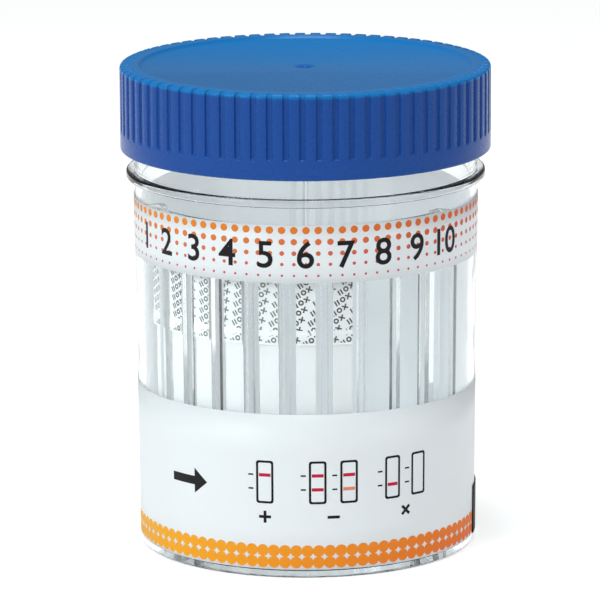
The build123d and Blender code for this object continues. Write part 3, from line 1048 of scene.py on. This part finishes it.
def tape_signs(shift):
    """Small plain signs in slanting rows over one tape, as (across, along) outlines."""
    lean = radians(SIGN_LEAN)
    outlines = []
    for row in range(*SIGN_ROWS):
        for n in range(*SIGN_COLUMNS):
            kind = n % (SIGNS_IN_GROUP + 1)
            if kind == SIGNS_IN_GROUP:
                continue
            u = n * SIGN_PITCH + row * shift
            v = row * SIGN_ROW_PITCH
            x = u * cos(lean) - v * sin(lean)
            y = TAPE_START + u * sin(lean) + v * cos(lean)
            if abs(x) > STRIP_WIDTH or not TAPE_START - 2 < y < TAPE_END + 2:
                continue
            for part in plain_sign(kind):
                outlines.append([
                    (x + a * cos(lean) - b * sin(lean), y + a * sin(lean) + b * cos(lean))
                    for a, b in part
                ])
    return outlines


def trim(work, point, normal):
    """Cuts off what lies beyond a plane, and closes the cut."""
    cut = cut_through(work, point, normal, clear=True)
    edges = [g for g in cut["geom_cut"] if isinstance(g, bmesh.types.BMEdge)]
    bmesh.ops.holes_fill(work, edges=edges)


def plain_sign(kind):
    """One sign about the origin: two bars, a ring or a cross, as separate outlines."""
    s, t = SIGN_HALF, SIGN_STROKE
    if kind == 0:
        return [stroke((-s * 0.5, -s), (-s * 0.5, s), t), stroke((s * 0.5, -s), (s * 0.5, s), t)]
    if kind == 1:
        return [circle(0, 0, s, 16), circle(0, 0, s - t, 16)]
    return [plus_outline(0, 0, s * 1.2, t, 45)]


def make_tape_print():
    """Printed signs on the cover tape of every strip."""
    lean = Matrix.Rotation(atan(DRAFT), 4, "Y")
    channel_floor = wall_radius(STRIP_FOOT, -(WALL + CARRIER_GAP + CHANNEL_DEPTH))
    seat = Matrix.Translation((channel_floor, 0, STRIP_FOOT))
    for number in range(1, STRIPS + 1):
        work = flat_ink(f"tape_{number}", tape_signs(0.35 + 0.17 * number))
        edge = STRIP_WIDTH / 2 - TAPE_MARGIN
        trim(work, (edge, 0, 0), (1, 0, 0))
        trim(work, (-edge, 0, 0), (-1, 0, 0))
        trim(work, (0, TAPE_END - TAPE_MARGIN, 0), (0, 1, 0))
        trim(work, (0, TAPE_START + TAPE_MARGIN, 0), (0, -1, 0))
        azimuth = FIRST_CHANNEL + CHANNEL_PITCH * (number - 1)
        turn = Matrix.Rotation(radians(azimuth - 90), 4, "Z")
        for vertex in work.verts:
            across, along, depth = vertex.co
            face = TAPE_FACE + (TAPE_STEP if along < PAD_LEVEL else 0)
            lift = face + INK_LIFT + INK_THICKNESS * (depth + 0.5)
            vertex.co = (turn @ seat @ lean @ Vector((lift, across, along))) * MM
        ink = GREY_INK if number in GREY_TAPES else BLACK_INK
        ink_piece(f"tape_{number}_print", work, ink)


def dress(node, material):
    """Puts one material on a CAD node."""
    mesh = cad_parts[node].data
    mesh.materials.clear()
    mesh.materials.append(material)


# Stage, lamps and camera

AIM_HEIGHT = 49.55
CAMERA_DISTANCE = 983.1
CAMERA_ELEVATION = 12.15
CAMERA_ROLL = -0.28
LENS = 312.4
SENSOR = 36.0
PHOTO_SIZE = 600
PHOTO_CENTRE = 300.0
AIM_PIXEL = (306.2, 280.8)
SKY_COLOUR = (1.0, 1.0, 1.0)
SKY_SEEN = 0.95
SKY_ON_DULL = 0.38
SKY_IN_GLOSS = 0.2
FLOOR_GLOW = 0.5
FLOOR_SIDE = 4.0
LAMP_AIM = 50.0


def make_camera():
    """Camera at the photo's angle, turned a little so that the aim falls where it does there."""
    elevation, roll = radians(CAMERA_ELEVATION), radians(CAMERA_ROLL)
    ahead = Vector((0, cos(elevation), -sin(elevation)))
    upright = Vector((0, sin(elevation), cos(elevation)))
    right = Vector((1, 0, 0)) * cos(roll) + upright * sin(roll)
    up = upright * cos(roll) - Vector((1, 0, 0)) * sin(roll)
    place_at = Vector((0, 0, AIM_HEIGHT)) * MM - ahead * CAMERA_DISTANCE * MM
    pixels = LENS / SENSOR * PHOTO_SIZE
    shift_x = (AIM_PIXEL[0] - PHOTO_CENTRE) / pixels
    shift_y = (PHOTO_CENTRE - AIM_PIXEL[1]) / pixels
    look = (ahead - right * shift_x - up * shift_y).normalized()
    side = look.cross(up).normalized()
    top = side.cross(look)
    data = bpy.data.cameras.new("camera")
    data.lens = LENS
    data.sensor_width = SENSOR
    data.clip_end = 20
    camera = linked("camera", data)
    turned = Matrix((side, top, -look)).transposed().to_4x4()
    camera.matrix_world = Matrix.Translation(place_at) @ turned
    bpy.context.scene.camera = camera


def make_floor():
    """Plain white floor that keeps the cup's shadow."""
    side = FLOOR_SIDE
    corners = [(-side, -side, 0), (side, -side, 0), (side, side, 0), (-side, side, 0)]
    mesh = bpy.data.meshes.new("floor")
    mesh.from_pydata(corners, [], [(0, 1, 2, 3)])
    floor = linked("floor", mesh)
    material, nodes, links, shader = new_material("floor_white")
    shader.inputs["Base Color"].default_value = (0.8, 0.8, 0.8, 1)
    shader.inputs["Roughness"].default_value = 0.9
    shader.inputs["Specular IOR Level"].default_value = 0.1
    glow = nodes.new("ShaderNodeEmission")
    glow.inputs["Color"].default_value = (1, 1, 1, 1)
    rays = nodes.new("ShaderNodeLightPath")
    level = ray_level(nodes, links, rays.outputs["Is Diffuse Ray"], FLOOR_GLOW, 0.0)
    links.new(level, glow.inputs["Strength"])
    both = nodes.new("ShaderNodeAddShader")
    links.new(shader.outputs[0], both.inputs[0])
    links.new(glow.outputs[0], both.inputs[1])
    links.new(both.outputs[0], nodes["Material Output"].inputs["Surface"])
    mesh.materials.append(material)


def add_lamp(name, azimuth, elevation, distance, size, power, colour=(1, 1, 1)):
    """Soft rectangular lamp that looks at the cup."""
    data = bpy.data.lights.new(name, "AREA")
    data.shape = "RECTANGLE"
    data.size, data.size_y = size
    data.energy = power
    data.color = colour
    lamp = linked(name, data)
    turn, lift = radians(azimuth), radians(elevation)
    spot = Vector((sin(turn) * cos(lift), -cos(turn) * cos(lift), sin(lift))) * distance
    lamp.location = Vector((0, 0, LAMP_AIM * MM)) + spot
    lamp.rotation_euler = (-spot).to_track_quat("-Z", "Y").to_euler()


def ray_level(nodes, links, flag, otherwise, when_set):
    """One value for rays with a flag, and another for the rest."""
    level = nodes.new("ShaderNodeMapRange")
    level.inputs["To Min"].default_value = otherwise
    level.inputs["To Max"].default_value = when_set
    links.new(flag, level.inputs["Value"])
    return level.outputs["Result"]


def reckon(nodes, links, operation, first, second):
    """Arithmetic on two sockets; the second may be a plain number."""
    node = nodes.new("ShaderNodeMath")
    node.operation = operation
    links.new(first, node.inputs[0])
    if isinstance(second, float):
        node.inputs[1].default_value = second
    else:
        links.new(second, node.inputs[1])
    return node.outputs[0]


def make_light():
    """White surroundings, broad lamps left, right and above, and two slim ones at the sides.

    The surroundings light dull surfaces less than they show, and are darker still in a gloss
    that is seen directly. A gloss inside or behind clear plastic sees them at full strength.
    """
    world = bpy.data.worlds.new("studio")
    bpy.context.scene.world = world
    world.use_nodes = True
    nodes, links = world.node_tree.nodes, world.node_tree.links
    base = nodes["Background"]
    base.inputs["Color"].default_value = (*SKY_COLOUR, 1)
    rays = nodes.new("ShaderNodeLightPath")
    dull = ray_level(nodes, links, rays.outputs["Is Diffuse Ray"], SKY_SEEN, SKY_ON_DULL)
    outside = reckon(nodes, links, "LESS_THAN", rays.outputs["Transmission Depth"], 0.5)
    direct = reckon(nodes, links, "MULTIPLY", outside, rays.outputs["Is Glossy Ray"])
    gloss = ray_level(nodes, links, direct, 1.0, SKY_IN_GLOSS / SKY_SEEN)
    links.new(reckon(nodes, links, "MULTIPLY", dull, gloss), base.inputs["Strength"])
    add_lamp("key", -48, 25, 0.9, (0.4, 0.5), 3.25, (0.92, 1.0, 1.0))
    add_lamp("fill", 62, 16, 1.0, (0.5, 0.6), 1.45)
    add_lamp("edge", -78, 8, 0.9, (0.03, 0.2), 0.35)
    add_lamp("top", -10, 82, 0.8, (0.3, 0.3), 3.5, (0.9, 1.0, 1.0))
    add_lamp("rim", 84, 20, 0.9, (0.03, 0.3), 0.15)


make_camera()
make_cup()
make_rails()
make_lid()
dress("lid_seal", FOAM)
make_carrier()
make_label()
make_thermometer()
make_bands()
make_key()
make_channel_numbers()
make_strips()
make_tape_print()
make_floor()
make_light()
bpy.context.scene.view_settings.view_transform = "Standard"
bpy.context.scene.cycles.max_bounces = 24
bpy.context.scene.cycles.transmission_bounces = 24
